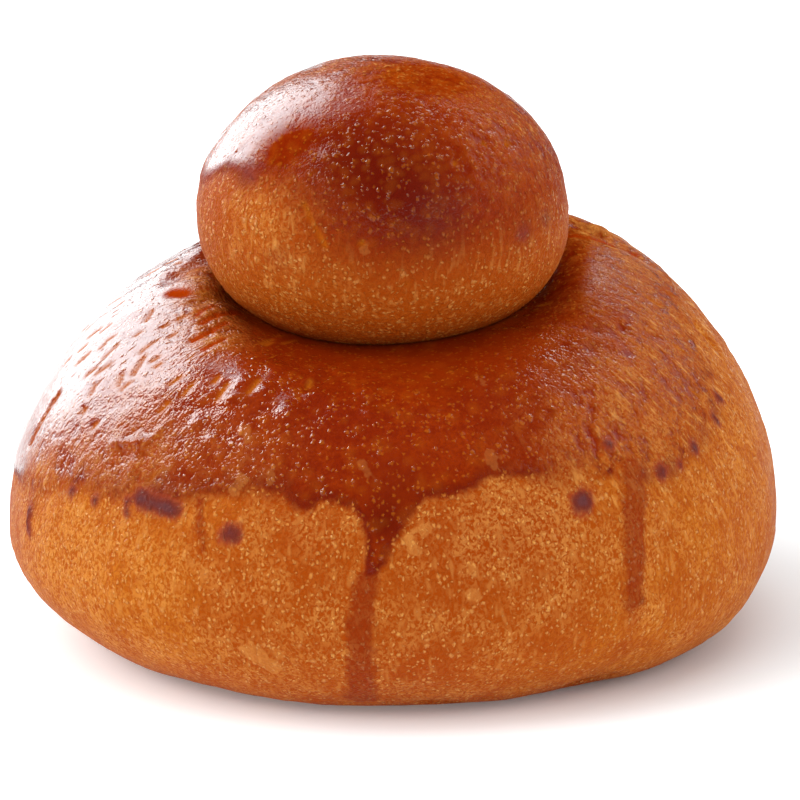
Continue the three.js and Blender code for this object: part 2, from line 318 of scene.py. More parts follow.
def ray(azimuth, elevation):
    """The unit vector with an azimuth round +Z and an elevation above the level, both in degrees."""
    azimuth, elevation = np.radians(azimuth), np.radians(elevation)
    return np.stack(
        [np.cos(elevation) * np.cos(azimuth), np.cos(elevation) * np.sin(azimuth), np.sin(elevation)], -1
    )


def uneven(mean, waves, theta):
    """A mean size plus height * cos(crests * (theta - towards)) for each wave."""
    return mean + sum(height * np.cos(crests * (theta - np.radians(to))) for crests, height, to in waves)


def length(vectors):
    """The length of each vector of an array."""
    return np.sqrt((vectors**2).sum(-1))


def unit(vectors):
    """Each vector of an array at length 1."""
    return vectors / np.maximum(length(vectors), 1e-9)[..., None]


def ripple(points, wavelength, count, draw):
    """Slow unevenness about 0: the mean of count plane waves in random directions, with lengths within a
    third of wavelength."""
    directions = unit(draw.normal(size=(count, 3)))
    lengths = wavelength * draw.uniform(0.67, 1.33, count)
    phases = draw.uniform(0, 2 * np.pi, count)
    waves = np.sin(points @ (directions / lengths[:, None]).T * 2 * np.pi + phases)
    return waves.sum(-1) / math.sqrt(count / 2)


# ---- the base shapes ----

def knot_surface(size, theta, tilt):
    """The topknot, theta round its axis and tilt down from its crown: an ellipsoid scaled by 1 plus the
    bells of its swells, leaned about +Y and set at its centre."""
    aim = ray(np.degrees(theta), 90 - np.degrees(tilt))
    radius, half_height = size.radius / MM, size.half_height / MM
    growth = np.ones(aim.shape[:-1])
    for azimuth, elevation, spread, height in KNOT_SWELLS:
        apart = np.degrees(np.arccos(np.clip(aim @ ray(azimuth, elevation), -1, 1)))
        growth += height / radius * bell(apart, spread)
    ball = aim * [radius, radius, half_height] * growth[..., None]
    lean = math.radians(KNOT_LEAN)
    x = ball[..., 0] * math.cos(lean) + ball[..., 2] * math.sin(lean)
    z = ball[..., 2] * math.cos(lean) - ball[..., 0] * math.sin(lean)
    return np.stack([x, ball[..., 1], z], -1) + KNOT_CENTRE


def seam_angle(theta):
    """The topknot's tilt at the seam: lower at the front than at the back."""
    return np.radians(SEAM_ANGLE + SEAM_FRONT_DROP * np.cos(theta - math.radians(FRONT)))


def bun_surface(size, knot):
    """The bun as rings from its foot up: a flat disc, a rolled edge whose radius grows as a power of a sine
    while it rises as 1 minus a power of a cosine, and a dome, radius cos ** fullness and height sin of the
    climb, with a bell-shaped hollow round the topknot. Returns the rings and each ring's climb."""
    theta = np.linspace(0, 2 * np.pi, BUN_COLUMNS, endpoint=False)[None, :]
    widest = uneven(size.radius / MM, WIDEST_WAVES, theta)
    rim = uneven(size.foot_radius / MM, FOOT_WAVES, theta)
    start = size.widest_height / MM

    reach = (np.arange(1, FOOT_ROWS) / FOOT_ROWS)[:, None]
    foot = np.stack([reach * rim * np.cos(theta), reach * rim * np.sin(theta), 0 * reach * rim], -1)

    turn = (np.arange(EDGE_ROWS) / EDGE_ROWS * np.pi / 2)[:, None]
    radius = rim + (widest - rim) * np.sin(turn) ** EDGE_OUT_POWER
    height = start * (1 - np.cos(turn) ** EDGE_UP_POWER) + 0 * theta
    edge = np.stack([radius * np.cos(theta), radius * np.sin(theta), height], -1)

    climb = np.concatenate([np.arange(DOME_ROWS) / DOME_ROWS, np.linspace(1, TUCK, TUCK_ROWS)])[:, None]
    seam = knot_surface(knot, theta, seam_angle(theta))
    seam_theta = np.arctan2(seam[..., 1], seam[..., 0])
    seam_radius = np.hypot(seam[..., 0], seam[..., 1])
    swing = (seam_theta - theta + np.pi) % (2 * np.pi) - np.pi
    around = theta + swing * smooth(climb)
    share = seam_radius / uneven(size.radius / MM, WIDEST_WAVES, seam_theta)
    full = np.arccos(share ** (1 / DOME_FULLNESS))
    radius = uneven(size.radius / MM, WIDEST_WAVES, around) * np.cos(climb * full) ** DOME_FULLNESS
    height = start + uneven(size.dome_rise / MM, DOME_WAVES, around) * np.sin(climb * full)
    bare = start + uneven(size.dome_rise / MM, DOME_WAVES, seam_theta) * np.sin(full)
    turned = np.degrees(np.arccos(np.cos(around - math.radians(FRONT))))
    hollow = HOLLOW_WIDTH + HOLLOW_FRONT_WIDTH * bell(turned, HOLLOW_FRONT_SPREAD)
    height = height + (seam[..., 2] - bare) * bell(radius - seam_radius, hollow)
    dome = np.stack([radius * np.cos(around), radius * np.sin(around), height], -1)

    rings = np.concatenate([foot, edge, dome])
    climbs = np.concatenate([np.zeros((FOOT_ROWS - 1 + EDGE_ROWS, 1)), climb])
    return pucker(swell(rings, climbs), climbs), climbs


def swell(rings, climbs):
    """Pushes the crust out from the heart of the bun by the bells of its swells. They die out towards the
    seam, and close to the foot they push sideways alone."""
    push = sum(h * bell(length(rings - [x, y, z]), spread) for x, y, z, spread, h in BUN_SWELLS)
    outwards = unit(rings - [0, 0, HEART_HEIGHT])
    outwards[..., 2] *= smooth(rings[..., 2] / FOOT_FADE)
    return rings + outwards * (push * smooth((1 - climbs) / SWELL_FADE))[..., None]


def pucker(rings, climbs):
    """Lowers the dome by bell-shaped valleys along straight lines seen from above, fading at the seam."""
    rings = rings.copy()
    fade = smooth((1 - climbs) / PUCKER_FADE) * (climbs > 0)
    for inner, outer, width, depth in PUCKERS:
        start, end = (KNOT_CENTRE[:2] + far * ray(azimuth, 0)[:2] for azimuth, far in (inner, outer))
        _, apart = along_line(rings[..., :2], start, end)
        rings[..., 2] -= depth * fade * bell(apart, width)
    return rings


def along_line(points, start, end):
    """How far along the straight line from start to end each point is, from 0 to 1, and its distance."""
    run = end - start
    share = np.clip(((points - start) @ run) / max(run @ run, 1e-9), 0, 1)
    return share, length(points - start - share[..., None] * run)


# ---- a skin and the marks on it ----

OUTSIDE = -50.0  # a depth far outside every mark


class Skin:
    """Rings of points with their outward normals. A place on it is named by the direction in which it is
    seen from the heart of the piece. relief is how far each point is pushed out, in millimetres."""

    def __init__(self, rings, heart, fade):
        self.rings = rings
        self.fade = fade
        across = np.roll(rings, -1, 1) - np.roll(rings, 1, 1)
        up = np.gradient(rings, axis=0)
        self.normals = unit(np.cross(across, up))
        self.along = unit(up)
        self.aims = unit(rings - heart)
        self.reach = length(rings - heart)
        self.azimuths = np.degrees(np.arctan2(self.aims[..., 1], self.aims[..., 0])) % 360
        self.elevations = np.degrees(np.arcsin(self.aims[..., 2]))
        self.relief = np.zeros(rings.shape[:2])
        self.steps = length(up), length(across) / 2

    def place(self, direction):
        """The ring and column of the point nearest to a direction."""
        return np.unravel_index(np.argmax(self.aims @ ray(*direction)), self.relief.shape)

    def patch(self, row, column, reach):
        """The index of the part of the grid within reach of a point."""
        rows, columns = self.relief.shape
        high = int(reach / max(self.steps[0][row, column], 0.1)) + 2
        wide = min(int(reach / max(self.steps[1][row, column], 0.1)) + 2, columns // 2 - 1)
        span = np.arange(max(row - high, 0), min(row + high + 1, rows))
        return np.ix_(span, np.arange(column - wide, column + wide + 1) % columns)

    def spot(self, direction, spread):
        """A bell at a direction, as the index of its patch and its values."""
        row, column = self.place(direction)
        patch = self.patch(row, column, 2.6 * spread)
        return patch, bell(length(self.rings[patch] - self.rings[row, column]), spread)

    def streak(self, start, end, width):
        """The index of the patch along the line between two directions, and along_line of its points."""
        places = [self.place(direction) for direction in (start, end)]
        ends = [self.rings[place] for place in places]
        middle = sum(self.aims[place] for place in places)
        row, column = np.unravel_index(np.argmax(self.aims @ middle), self.relief.shape)
        patch = self.patch(row, column, length(ends[1] - ends[0]) / 2 + 3 * width)
        return patch, *along_line(self.rings[patch], *ends)

    def scatter(self, weight, count, draw):
        """Rings and columns of count random points, as dense as weight says for the same area."""
        share = (weight * self.steps[0] * self.steps[1]).ravel()
        picks = draw.choice(share.size, count, p=share / share.sum())
        return zip(*np.unravel_index(picks, self.relief.shape))

    def shaped(self):
        """The rings with the relief pushed out along their normals."""
        return self.rings + self.normals * (self.relief * self.fade)[..., None]


def wash_depth(skin, edge):
    """How far inside the egg wash each point is, in millimetres: its height above the edge, which runs
    straight between its points, divided by the slope of the edge."""
    azimuths, elevations = np.array(edge).T
    line = np.interp(skin.azimuths, azimuths, elevations, period=360)
    ahead = np.interp(skin.azimuths + 1, azimuths, elevations, period=360)
    slope = (ahead - line) / np.cos(np.radians(skin.elevations))
    return np.radians(skin.elevations - line) * skin.reach / np.sqrt(1 + slope**2)


def run_depth(skin, run):
    """How far inside a run of egg wash each point is: its half width less the distance from its middle."""
    depth = np.full(skin.relief.shape, OUTSIDE)
    for (*start, wide), (*end, narrow) in zip(run, run[1:]):
        patch, share, apart = skin.streak(start, end, 6)
        depth[patch] = np.maximum(depth[patch], wide + (narrow - wide) * share - apart)
    return depth


def blend_depths(first, second, softness):
    """The greater of two depths, with their meeting rounded off."""
    return softness * np.logaddexp(first / softness, second / softness)


def mark_depth(skin, marks):
    """How far inside the nearest of some marks each point is: the mark's radius less the distance."""
    depth = np.full(skin.relief.shape, OUTSIDE)
    for *ends, radius in marks:
        patch, _, apart = skin.streak(ends[0], ends[-1], radius + 2)
        depth[patch] = np.maximum(depth[patch], radius - apart)
    return depth


def tint(skin, spots):
    """The sum of some soft spots, from -1 to 1."""
    total = np.zeros(skin.relief.shape)
    for *direction, spread, strength in spots:
        patch, values = skin.spot(direction, spread)
        total[patch] += strength * values
    return np.clip(total, -1, 1)


def raise_blisters(skin, weight, count, sizes, heights, draw):
    """Scatters round blisters and returns how blistered each point is, from 0 to 1."""
    blistered = np.zeros(skin.relief.shape)
    for row, column in skin.scatter(weight, count, draw):
        radius, height = draw.uniform(*sizes), draw.uniform(*heights)
        patch = skin.patch(row, column, radius)
        apart = length(skin.rings[patch] - skin.rings[row, column]) / radius
        dome = np.clip(1 - apart**2, 0, 1)
        skin.relief[patch] += height * dome
        blistered[patch] = np.maximum(blistered[patch], dome)
    return blistered


def carve(skin, marks):
    """Lowers the skin by a bell-shaped valley along each mark, or raises it where the depth is below 0.
    Returns how deep in one each point is, from 0 to 1."""
    opened = np.zeros(skin.relief.shape)
    for *ends, width, depth in marks:
        patch, _, apart = skin.streak(ends[0], ends[-1], width)
        valley = bell(apart, width)
        skin.relief[patch] -= depth * valley
        opened[patch] = np.maximum(opened[patch], valley)
    return opened


def swell_up(skin, bulges):
    """Raises the skin by a bell at each bulge."""
    for *direction, spread, height in bulges:
        patch, values = skin.spot(direction, spread)
        skin.relief[patch] += height * values


def cut_slits(skin, weight, count, lengths, widths, depths, draw):
    """Scatters slits along the dough's stretch, which runs up the skin. Returns how deep in one each point
    is, from 0 to 1."""
    opened = np.zeros(skin.relief.shape)
    for row, column in skin.scatter(weight, count, draw):
        half, width, depth = (draw.uniform(*sizes) for sizes in (lengths, widths, depths))
        across = np.cross(skin.normals[row, column], skin.along[row, column])
        run = skin.along[row, column] + across * draw.uniform(-0.25, 0.25)
        middle = skin.rings[row, column]
        patch = skin.patch(row, column, half + 3 * width)
        _, apart = along_line(skin.rings[patch], middle - run * half, middle + run * half)
        valley = bell(apart, width)
        skin.relief[patch] -= depth * valley
        opened[patch] = np.maximum(opened[patch], valley)
    return opened


# ---- meshes ----

def closed_mesh(name, rings, bottom, top, marks):
    """A closed mesh of rings joined by quads, with a fan to one point at either end. marks are the values
    kept at each point, one number or three, by name."""
    rows, columns = rings.shape[:2]
    corner = 1 + np.arange(rows * columns).reshape(rows, columns)
    beside = np.roll(corner, -1, axis=1)
    last = rows * columns + 1
    quads = np.stack([corner[:-1], beside[:-1], beside[1:], corner[1:]], -1).reshape(-1, 4)
    under = np.stack([np.zeros(columns, int), beside[0], corner[0]], -1)
    over = np.stack([np.full(columns, last), corner[-1], beside[-1]], -1)
    points = np.concatenate([[bottom], rings.reshape(-1, 3), [top]]) * MM
    mesh = bpy.data.meshes.new(name)
    mesh.from_pydata(points.tolist(), [], quads.tolist() + under.tolist() + over.tolist())
    mesh.polygons.foreach_set("use_smooth", np.ones(len(mesh.polygons), bool))
    for mark, grid in marks.items():
        wide = grid.ndim == 3
        values = np.concatenate([grid[:1].mean(1), grid.reshape(-1, *grid.shape[2:]), grid[-1:].mean(1)])
        kept = mesh.attributes.new(mark, "FLOAT_VECTOR" if wide else "FLOAT", "POINT")
        kept.data.foreach_set("vector" if wide else "value", values.astype(np.float32).ravel())
    mesh.validate()
    mesh.update()
    return mesh


def place_piece(name, mesh, material):
    """Puts a mesh into the scene as a piece that stands for the CAD node."""
    mesh.materials.append(material)
    piece = bpy.data.objects.new(name, mesh)
    bpy.context.collection.objects.link(piece)
    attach(piece, "root")
    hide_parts(NODE)


def stretch_map(skin, radius):
    """Coordinates that follow the dough's stretch: two go round on a circle of a fixed radius, and the
    third is the length along the skin from the foot."""
    theta = np.linspace(0, 2 * np.pi, skin.rings.shape[1], endpoint=False)[None, :]
    risen = np.cumsum(length(np.diff(skin.rings, axis=0, prepend=skin.rings[:1])), axis=0)
    return np.stack([radius * np.cos(theta) + 0 * risen, radius * np.sin(theta) + 0 * risen, risen], -1)


# ---- shaders as expressions ----

class Wire:
    """An output of a shader node. Arithmetic on it adds Math nodes."""

    def __init__(self, bench, socket):
        self.bench = bench
        self.socket = socket

    def __add__(self, other):
        return self.bench.math("ADD", self, other)

    def __sub__(self, other):
        return self.bench.math("SUBTRACT", self, other)

    def __rsub__(self, other):
        return self.bench.math("SUBTRACT", other, self)

    def __mul__(self, other):
        return self.bench.math("MULTIPLY", self, other)

    def __truediv__(self, other):
        return self.bench.math("DIVIDE", self, other)

    __radd__ = __add__
    __rmul__ = __mul__


class Bench:
    """The node tree of a material or a world, cleared for new nodes."""

    def __init__(self, owner):
        owner.use_nodes = True
        self.tree = owner.node_tree
        self.tree.nodes.clear()

    def add(self, kind, settings=None, inputs=None, output=0):
        """Adds a node, sets it up, gives its inputs their values or links, and returns one output."""
        node = self.tree.nodes.new(kind)
        for key, value in (settings or {}).items():
            setattr(node, key, value)
        for key, value in (inputs or {}).items():
            if isinstance(value, Wire):
                self.tree.links.new(value.socket, node.inputs[key])
            else:
                node.inputs[key].default_value = value
        return Wire(self, node.outputs[output]) if len(node.outputs) else None

    def math(self, operation, first, second):
        return self.add("ShaderNodeMath", {"operation": operation}, {0: first, 1: second})

    def most(self, first, *others):
        """The greatest of some values."""
        for other in others:
            first = self.math("MAXIMUM", first, other)
        return first

    def vector(self, operation, first, second=(0, 0, 0), output=0):
        return self.add("ShaderNodeVectorMath", {"operation": operation}, {0: first, 1: second}, output)

    def step(self, low, high, value):
        """0 where value is low, 1 where it is high, and an S curve between them."""
        inputs = {"Value": value, "From Min": low, "From Max": high}
        return self.add("ShaderNodeMapRange", {"interpolation_type": "SMOOTHSTEP"}, inputs)

    def mix(self, share, first, second):
        """A colour between two others."""
        inputs = {"Factor": share, 6: first, 7: second}
        return self.add("ShaderNodeMix", {"data_type": "RGBA"}, inputs, 2)

    def paint(self, ground, *coats):
        """A colour with others laid over it in turn, each by its share."""
        for share, colour in coats:
            ground = self.mix(share, ground, colour)
        return ground

    def mark(self, name, output="Fac"):
        """A value that is kept on the mesh."""
        return self.add("ShaderNodeAttribute", {"attribute_name": name}, output=output)

    def noise(self, place, size, detail=2.0, roughness=0.5):
        """Smooth noise from 0 to 1 with features of about one size, in the units of place."""
        inputs = {"Vector": place, "Scale": 1 / size, "Detail": detail, "Roughness": roughness}
        return self.add("ShaderNodeTexNoise", None, inputs)

    def shake(self, place, size, reach):
        """Coordinates that wander by up to about half of reach, so that round cells turn uneven."""
        inputs = {"Vector": place, "Scale": 1 / size, "Detail": 1.0}
        drift = self.add("ShaderNodeTexNoise", None, inputs, "Color")
        centred = self.vector("SUBTRACT", drift, (0.5, 0.5, 0.5))
        return self.vector("ADD", place, self.vector("MULTIPLY", centred, (reach * 2,) * 3))

    def dots(self, place, spacing, radius, left_out):
        """Domes from 0 to 1, each of its own size, one to a cell but for the share that is left out."""
        inputs = {"Vector": place, "Scale": 1 / spacing, "Randomness": 1.0}
        cell = self.add("ShaderNodeTexVoronoi", None, inputs)
        own = Wire(self, cell.socket.node.outputs["Color"])
        chance = self.add("ShaderNodeSeparateColor", None, {0: own})
        size = chance * (radius / spacing * 0.7) + radius / spacing * 0.3
        ratio = cell / size
        dome = self.most(1 - ratio * ratio, 0)
        return dome * self.math("GREATER_THAN", chance, left_out)


def crust_material(name, look, softness, squash, speckled, pooled, coarse):
    """Baked crust, bare and grainy below and under a glossy egg wash above. softness is how gradually the
    wash ends, in millimetres, squash draws the grains out upwards, speckled is how much of their colour
    comes through the wash, pooled is how much darker the wash is along its edge, and coarse scales the
    height of the grain."""
    material = bpy.data.materials.new(name)
    bench = Bench(material)
    still = bench.add("ShaderNodeTexCoord", output="Object")
    skin = bench.mark("stretch", "Vector")
    drawn = bench.vector("MULTIPLY", still, (1, 1, squash))
    place = bench.shake(drawn, 0.5 * MM, 0.3 * MM)
    slow = bench.noise(still, 13 * MM)
    patchy = bench.noise(still, 4.5 * MM)
    mottled = bench.noise(drawn, 1.5 * MM, 2, 0.6)
    furrow = bench.noise(bench.vector("MULTIPLY", skin, (1, 1, 0.3)), 0.7, 1, 0.6)

    sand = bench.step(0.36, 0.66, bench.noise(place, 0.40 * MM, 1))
    grains = bench.dots(place, 0.60 * MM, 0.29 * MM, 0.45)
    blebs = bench.dots(place, 1.4 * MM, 0.42 * MM, 0.4)
    slits = bench.dots(bench.vector("MULTIPLY", skin, (1, 1, 0.2)), 0.95, 0.26, 0.25)

    # On the bun the thin, frost, golden and flake marks also carry painted light beside the topknot.
    thin = bench.mark("thin") * bench.step(0.32, 0.56, mottled * 0.5 + patchy * 0.5)
    fold = bench.mark("fold")
    slits = slits * bench.most(bench.mark("torn"), thin * 0.5)
    frost = bench.step(0.3, 0.75, patchy + bench.mark("frost") * 0.3)
    ragged = bench.mark("wash") + (mottled - 0.5) * 1.6 - grains * 0.3
    ragged = ragged / (softness + thin * 2.5)
    wash = bench.step(-1, 1, ragged)
    film = bench.step(0.5, 2.2, ragged)
    stain = bench.step(-0.5, 0.7, bench.mark("stain") + (mottled - 0.5) * 2.2)
    inside = bench.mark("bead") + (mottled - 0.5) * 1.2 + (patchy - 0.5) * 1.4
    bead = bench.step(-0.3, 0.6, inside)
    halo = bench.step(-0.8, 0.1, inside)
    reflection_core = bench.step(0.5, 1.2, inside)
    flake = bench.step(-0.1, 0.3, bench.mark("flake") + (mottled - 0.5) * 2.4)
    opened = bench.most(bench.mark("opened"), slits)
    # Painted shade: the colour darkens close to the seam between bun and topknot, where the crease is
    # shaded.
    crease_shade = bench.step(1.3, 0.2, bench.mark("seam") + mottled)

    ripe = bench.step(0.25, 0.75, slow + bench.mark("golden") * 0.35 - 0.08)
    pale = bench.most(
        sand * (0.05 + frost * 0.4),
        grains * (0.65 + frost * 0.3),
        blebs * 0.6,
        bench.step(0.54, 0.74, furrow) * (thin * 0.6 + 0.3),
    )
    bare = bench.paint(
        bench.mix(ripe, look.amber, look.golden),
        (bench.step(0.45, 0.75, mottled) * 0.38, look.scorched),
        ((1 - sand) * 0.45, look.scorched),
        (bench.step(0.50, 0.34, furrow) * (thin * 0.5 + 0.25), look.scorched),
        # Scorched patches, and on the bun painted shade towards the foot.
        (bench.mark("scorch"), look.scorched),
        (pale, look.grain),
        (stain * 0.68, look.mahogany),
        (flake * 0.28, look.grain),
    )

    rim = bench.step(-0.5, 0.8, ragged) * (1 - bench.step(1, 4, ragged)) * (1 - thin)
    dark = bench.most(rim * pooled, bench.mark("burnt"))
    domes = bench.most(grains, blebs)
    coated = bench.paint(
        bench.mix(bench.step(0.40, 0.64, mottled * 0.5 + slow * 0.5), look.mahogany, look.russet),
        (bench.most(dark, (1 - sand) * (1 - thin) * 0.3), look.deep),
        (thin * 0.75, bare),
        (domes * speckled + bench.mark("blister") * 0.12, look.golden),
        (flake * 0.12, look.grain),
        (opened * (0.7 - thin * 0.6), look.golden),
        # The dough's own colour in open folds, and painted light in the shaded collar round the topknot.
        (fold * 0.9, look.fold),
    )

    colour = bench.paint(
        bare,
        (wash, coated),
        (bench.mark("bruise"), look.bead),
        (halo * 0.6, look.ring),
        (bead * 0.9, look.bead),
        # Painted reflection in the middle of the larger beads.
        (reflection_core * 0.7, look.pool),
        (crease_shade * 0.9, look.crease_shade),
    )

    full = film * (1 - thin)
    height = (
        sand * (0.07 - full * 0.058)
        + grains * (0.10 - full * 0.05)
        + blebs * (0.11 + thin * 0.06)
        + mottled * (0.10 + thin * 0.15 - full * 0.06)
        + furrow * (0.12 + thin * 0.12 - full * 0.095)
        - slits * 0.12
        + wash * 0.05
    )
    bump = bench.add("ShaderNodeBump", None, {"Strength": 1, "Distance": coarse * MM, "Height": height})
    matt, glossy = (
        bench.add(
            "ShaderNodeBsdfPrincipled",
            None,
            {"Base Color": colour, "Roughness": roughness, "Specular IOR Level": specular, "Normal": bump},
        )
        for roughness, specular in ((0.55 - pale * 0.1, 0.03), (look.gloss + thin * 0.08, 0.5))
    )
    dull = bench.add("ShaderNodeBsdfDiffuse", None, {"Color": colour, "Normal": bump})
    coat = bench.most(film * (1 - thin * 0.8), domes * (0.25 + thin * 0.4))
    surface = bench.add("ShaderNodeMixShader", None, {0: coat, 1: matt, 2: glossy})
    bared = bench.most(opened, fold, bench.mark("dried"))
    surface = bench.add("ShaderNodeMixShader", None, {0: bared, 1: surface, 2: dull})
    bench.add("ShaderNodeOutputMaterial", None, {"Surface": surface})
    return material


# ---- what a user would change ----

def size_of(label, text, millimetres):
    return bpy.props.FloatProperty(
        name=label, description=text, default=millimetres * MM, unit="LENGTH", precision=4
    )


def colour_of(label, text, value):
    return bpy.props.FloatVectorProperty(
        name=label, description=text, default=(*value, 1.0), size=4, min=0, max=1, subtype="COLOR"
    )


def light_of(label, text, radiance):
    return bpy.props.FloatProperty(name=label, description=text, default=radiance, min=0)


class BunSizes(bpy.types.PropertyGroup):
    radius: size_of("Radius", "Mean radius of the widest ring", 49.8)
    widest_height: size_of("Widest height", "Height of the widest ring above the foot", 14.2)
    foot_radius: size_of("Foot radius", "Where the rolled edge leaves the baking sheet", 36.2)
    dome_rise: size_of("Dome rise", "Height of the bare dome above the widest ring", 39.2)


class TopknotSizes(bpy.types.PropertyGroup):
    radius: size_of("Radius", "Mean radius of the topknot", 23.8)
    half_height: size_of("Half height", "From its centre to its crown", 18.2)


class CrustLook(bpy.types.PropertyGroup):
    golden: colour_of("Golden crust", "Bare crust below the egg wash", (0.465, 0.123, 0.0065))
    amber: colour_of("Amber crust", "Darker parts of the bare crust", (0.365, 0.067, 0.002))
    grain: colour_of("Grain", "Pale grains, blisters and flakes", (0.68, 0.298, 0.066))
    scorched: colour_of("Scorched crust", "Deep orange patches of the bare crust", (0.32, 0.046, 0.0015))
    mahogany: colour_of("Egg wash", "Baked egg wash", (0.21, 0.015, 0.001))
    russet: colour_of("Russet egg wash", "Where the egg wash baked lighter", (0.27, 0.026, 0.001))
    deep: colour_of("Deep egg wash", "Where the egg wash baked darkest", (0.11, 0.005, 0.001))
    # This colour is also painted light in the shaded collar round the topknot.
    fold: colour_of("Fold", "Dough that shows in folds and where it is stretched", (0.34, 0.032, 0.001))
    ring: colour_of("Ring", "Round the pooled beads", (0.26, 0.035, 0.018))
    bead: colour_of("Bead", "Pooled beads of egg wash", (0.13, 0.021, 0.016))
    # Painted reflection: a bluish grey laid in the middle of the larger beads.
    pool: colour_of("Pool", "The middle of a large bead", (0.11, 0.036, 0.040))
    # Painted shade in the seam between bun and topknot.
    crease_shade: colour_of("Crease", "The seam between bun and topknot", (0.05, 0.006, 0.002))
    gloss: bpy.props.FloatProperty(
        name="Gloss", description="Roughness of the egg wash", default=0.08, min=0, max=1, subtype="FACTOR"
    )


class StudioLook(bpy.types.PropertyGroup):
    key: light_of("Key", "Radiance of the key light", 2.55)
    overhead: light_of("Overhead", "Radiance of the light above", 1.3)
    right: light_of("Right", "Radiance of the light from the right", 1.15)
    sheen: light_of("Sheen", "Radiance of the softbox", 3.2)
    side: light_of("Side", "Radiance of the dim side panel", 0.8)
    fill: light_of("Fill", "Radiance of the white room", 0.63)
    gleam: light_of("Gleam", "The room's radiance in reflections", 0.02)
    # The strength of the floor's glow, which also paints the bun's shadow on the floor.
    table: light_of("Table", "Glow of the lit white table", 1.0)


# ---- operators ----

class BRIOCHE_OT_bun(bpy.types.Operator):
    """Makes the bun: its rings, the relief of its crust, and the marks of the egg wash"""

    bl_idname = "brioche.bun"
    bl_label = "Make the bun"

    def execute(self, context):
        scene = context.scene
        draw = np.random.default_rng(11)
        rings, climbs = bun_surface(scene.brioche_bun, scene.brioche_topknot)
        fade = smooth(rings[..., 2] / 1.6) * smooth((1.01 - climbs) / 0.07)
        skin = Skin(rings, [0, 0, HEART_HEIGHT], fade)
        wash = wash_depth(skin, GLAZE_EDGE)
        for run in GLAZE_RUNS:
            wash = blend_depths(wash, run_depth(skin, run), 0.5)
        stain = np.full(wash.shape, OUTSIDE)
        for run in STAIN_RUNS:
            stain = np.maximum(stain, run_depth(skin, run))
        beads = mark_depth(skin, BEADS)
        flakes = mark_depth(skin, FLAKES_AND_PAINTED_LIGHT)

        skin.relief += 0.1 * ripple(rings, 16, 24, draw) + 0.03 * ripple(rings, 5, 24, draw)
        skin.relief += 0.2 * smooth(wash / 1.2) + 0.12 * smooth(stain + 0.4)
        skin.relief += 0.25 * smooth(beads + 0.3) + 0.15 * smooth((flakes + 0.3) / 0.8)
        torn = tint(skin, TORN)
        blistered = raise_blisters(skin, 1.1 - torn, 2400, (0.55, 1.2), (0.015, 0.06), draw)
        opened = cut_slits(skin, torn, 85, (0.4, 1.2), (0.33, 0.38), (0.08, 0.18), draw)
        opened = np.maximum(opened, carve(skin, SLITS))
        carve(skin, FOLDS)
        carve(skin, RIDGES)
        swell_up(skin, BULGES)
        # The collar's painted light shares one mark with the open folds.
        fold = tint(skin, COLLAR_PAINTED_LIGHT)
        for start, end, width, _ in FOLDS:
            patch, _, apart = skin.streak(start, end, width)
            fold[patch] = np.maximum(fold[patch], smooth(1.6 - apart / width))

        marks = {
            "wash": wash,
            "stain": stain,
            "bead": beads,
            "flake": flakes,
            # Scorched patches, and painted shade that darkens the crust towards the foot, over its lowest 5
            # mm.
            "scorch": np.maximum(tint(skin, SCORCHES), 0.8 * smooth(1 - rings[..., 2] / 5)),
            "thin": tint(skin, THIN_WASH_AND_PAINTED_LIGHT),
            "burnt": tint(skin, BURNT),
            "frost": tint(skin, FROSTED),
            "blister": blistered,
            "opened": opened,
            "fold": fold,
            "dried": tint(skin, DRIED),
            "bruise": tint(skin, BRUISED),
            "torn": torn,
            "golden": tint(skin, GOLDEN),
            # How far from the seam each point is, for the painted shade in the crease.
            "seam": (1 - climbs) * 55 + 0 * wash,
            "stretch": stretch_map(skin, 36),
        }
        shaped = skin.shaped()
        mesh = closed_mesh("bun", shaped, [0, 0, 0], shaped[-1].mean(0), marks)
        material = crust_material(
            "bun crust", scene.brioche_crust, softness=0.6, squash=0.85, speckled=0.45, pooled=0.6, coarse=1
        )
        place_piece("bun", mesh, material)
        return {"FINISHED"}


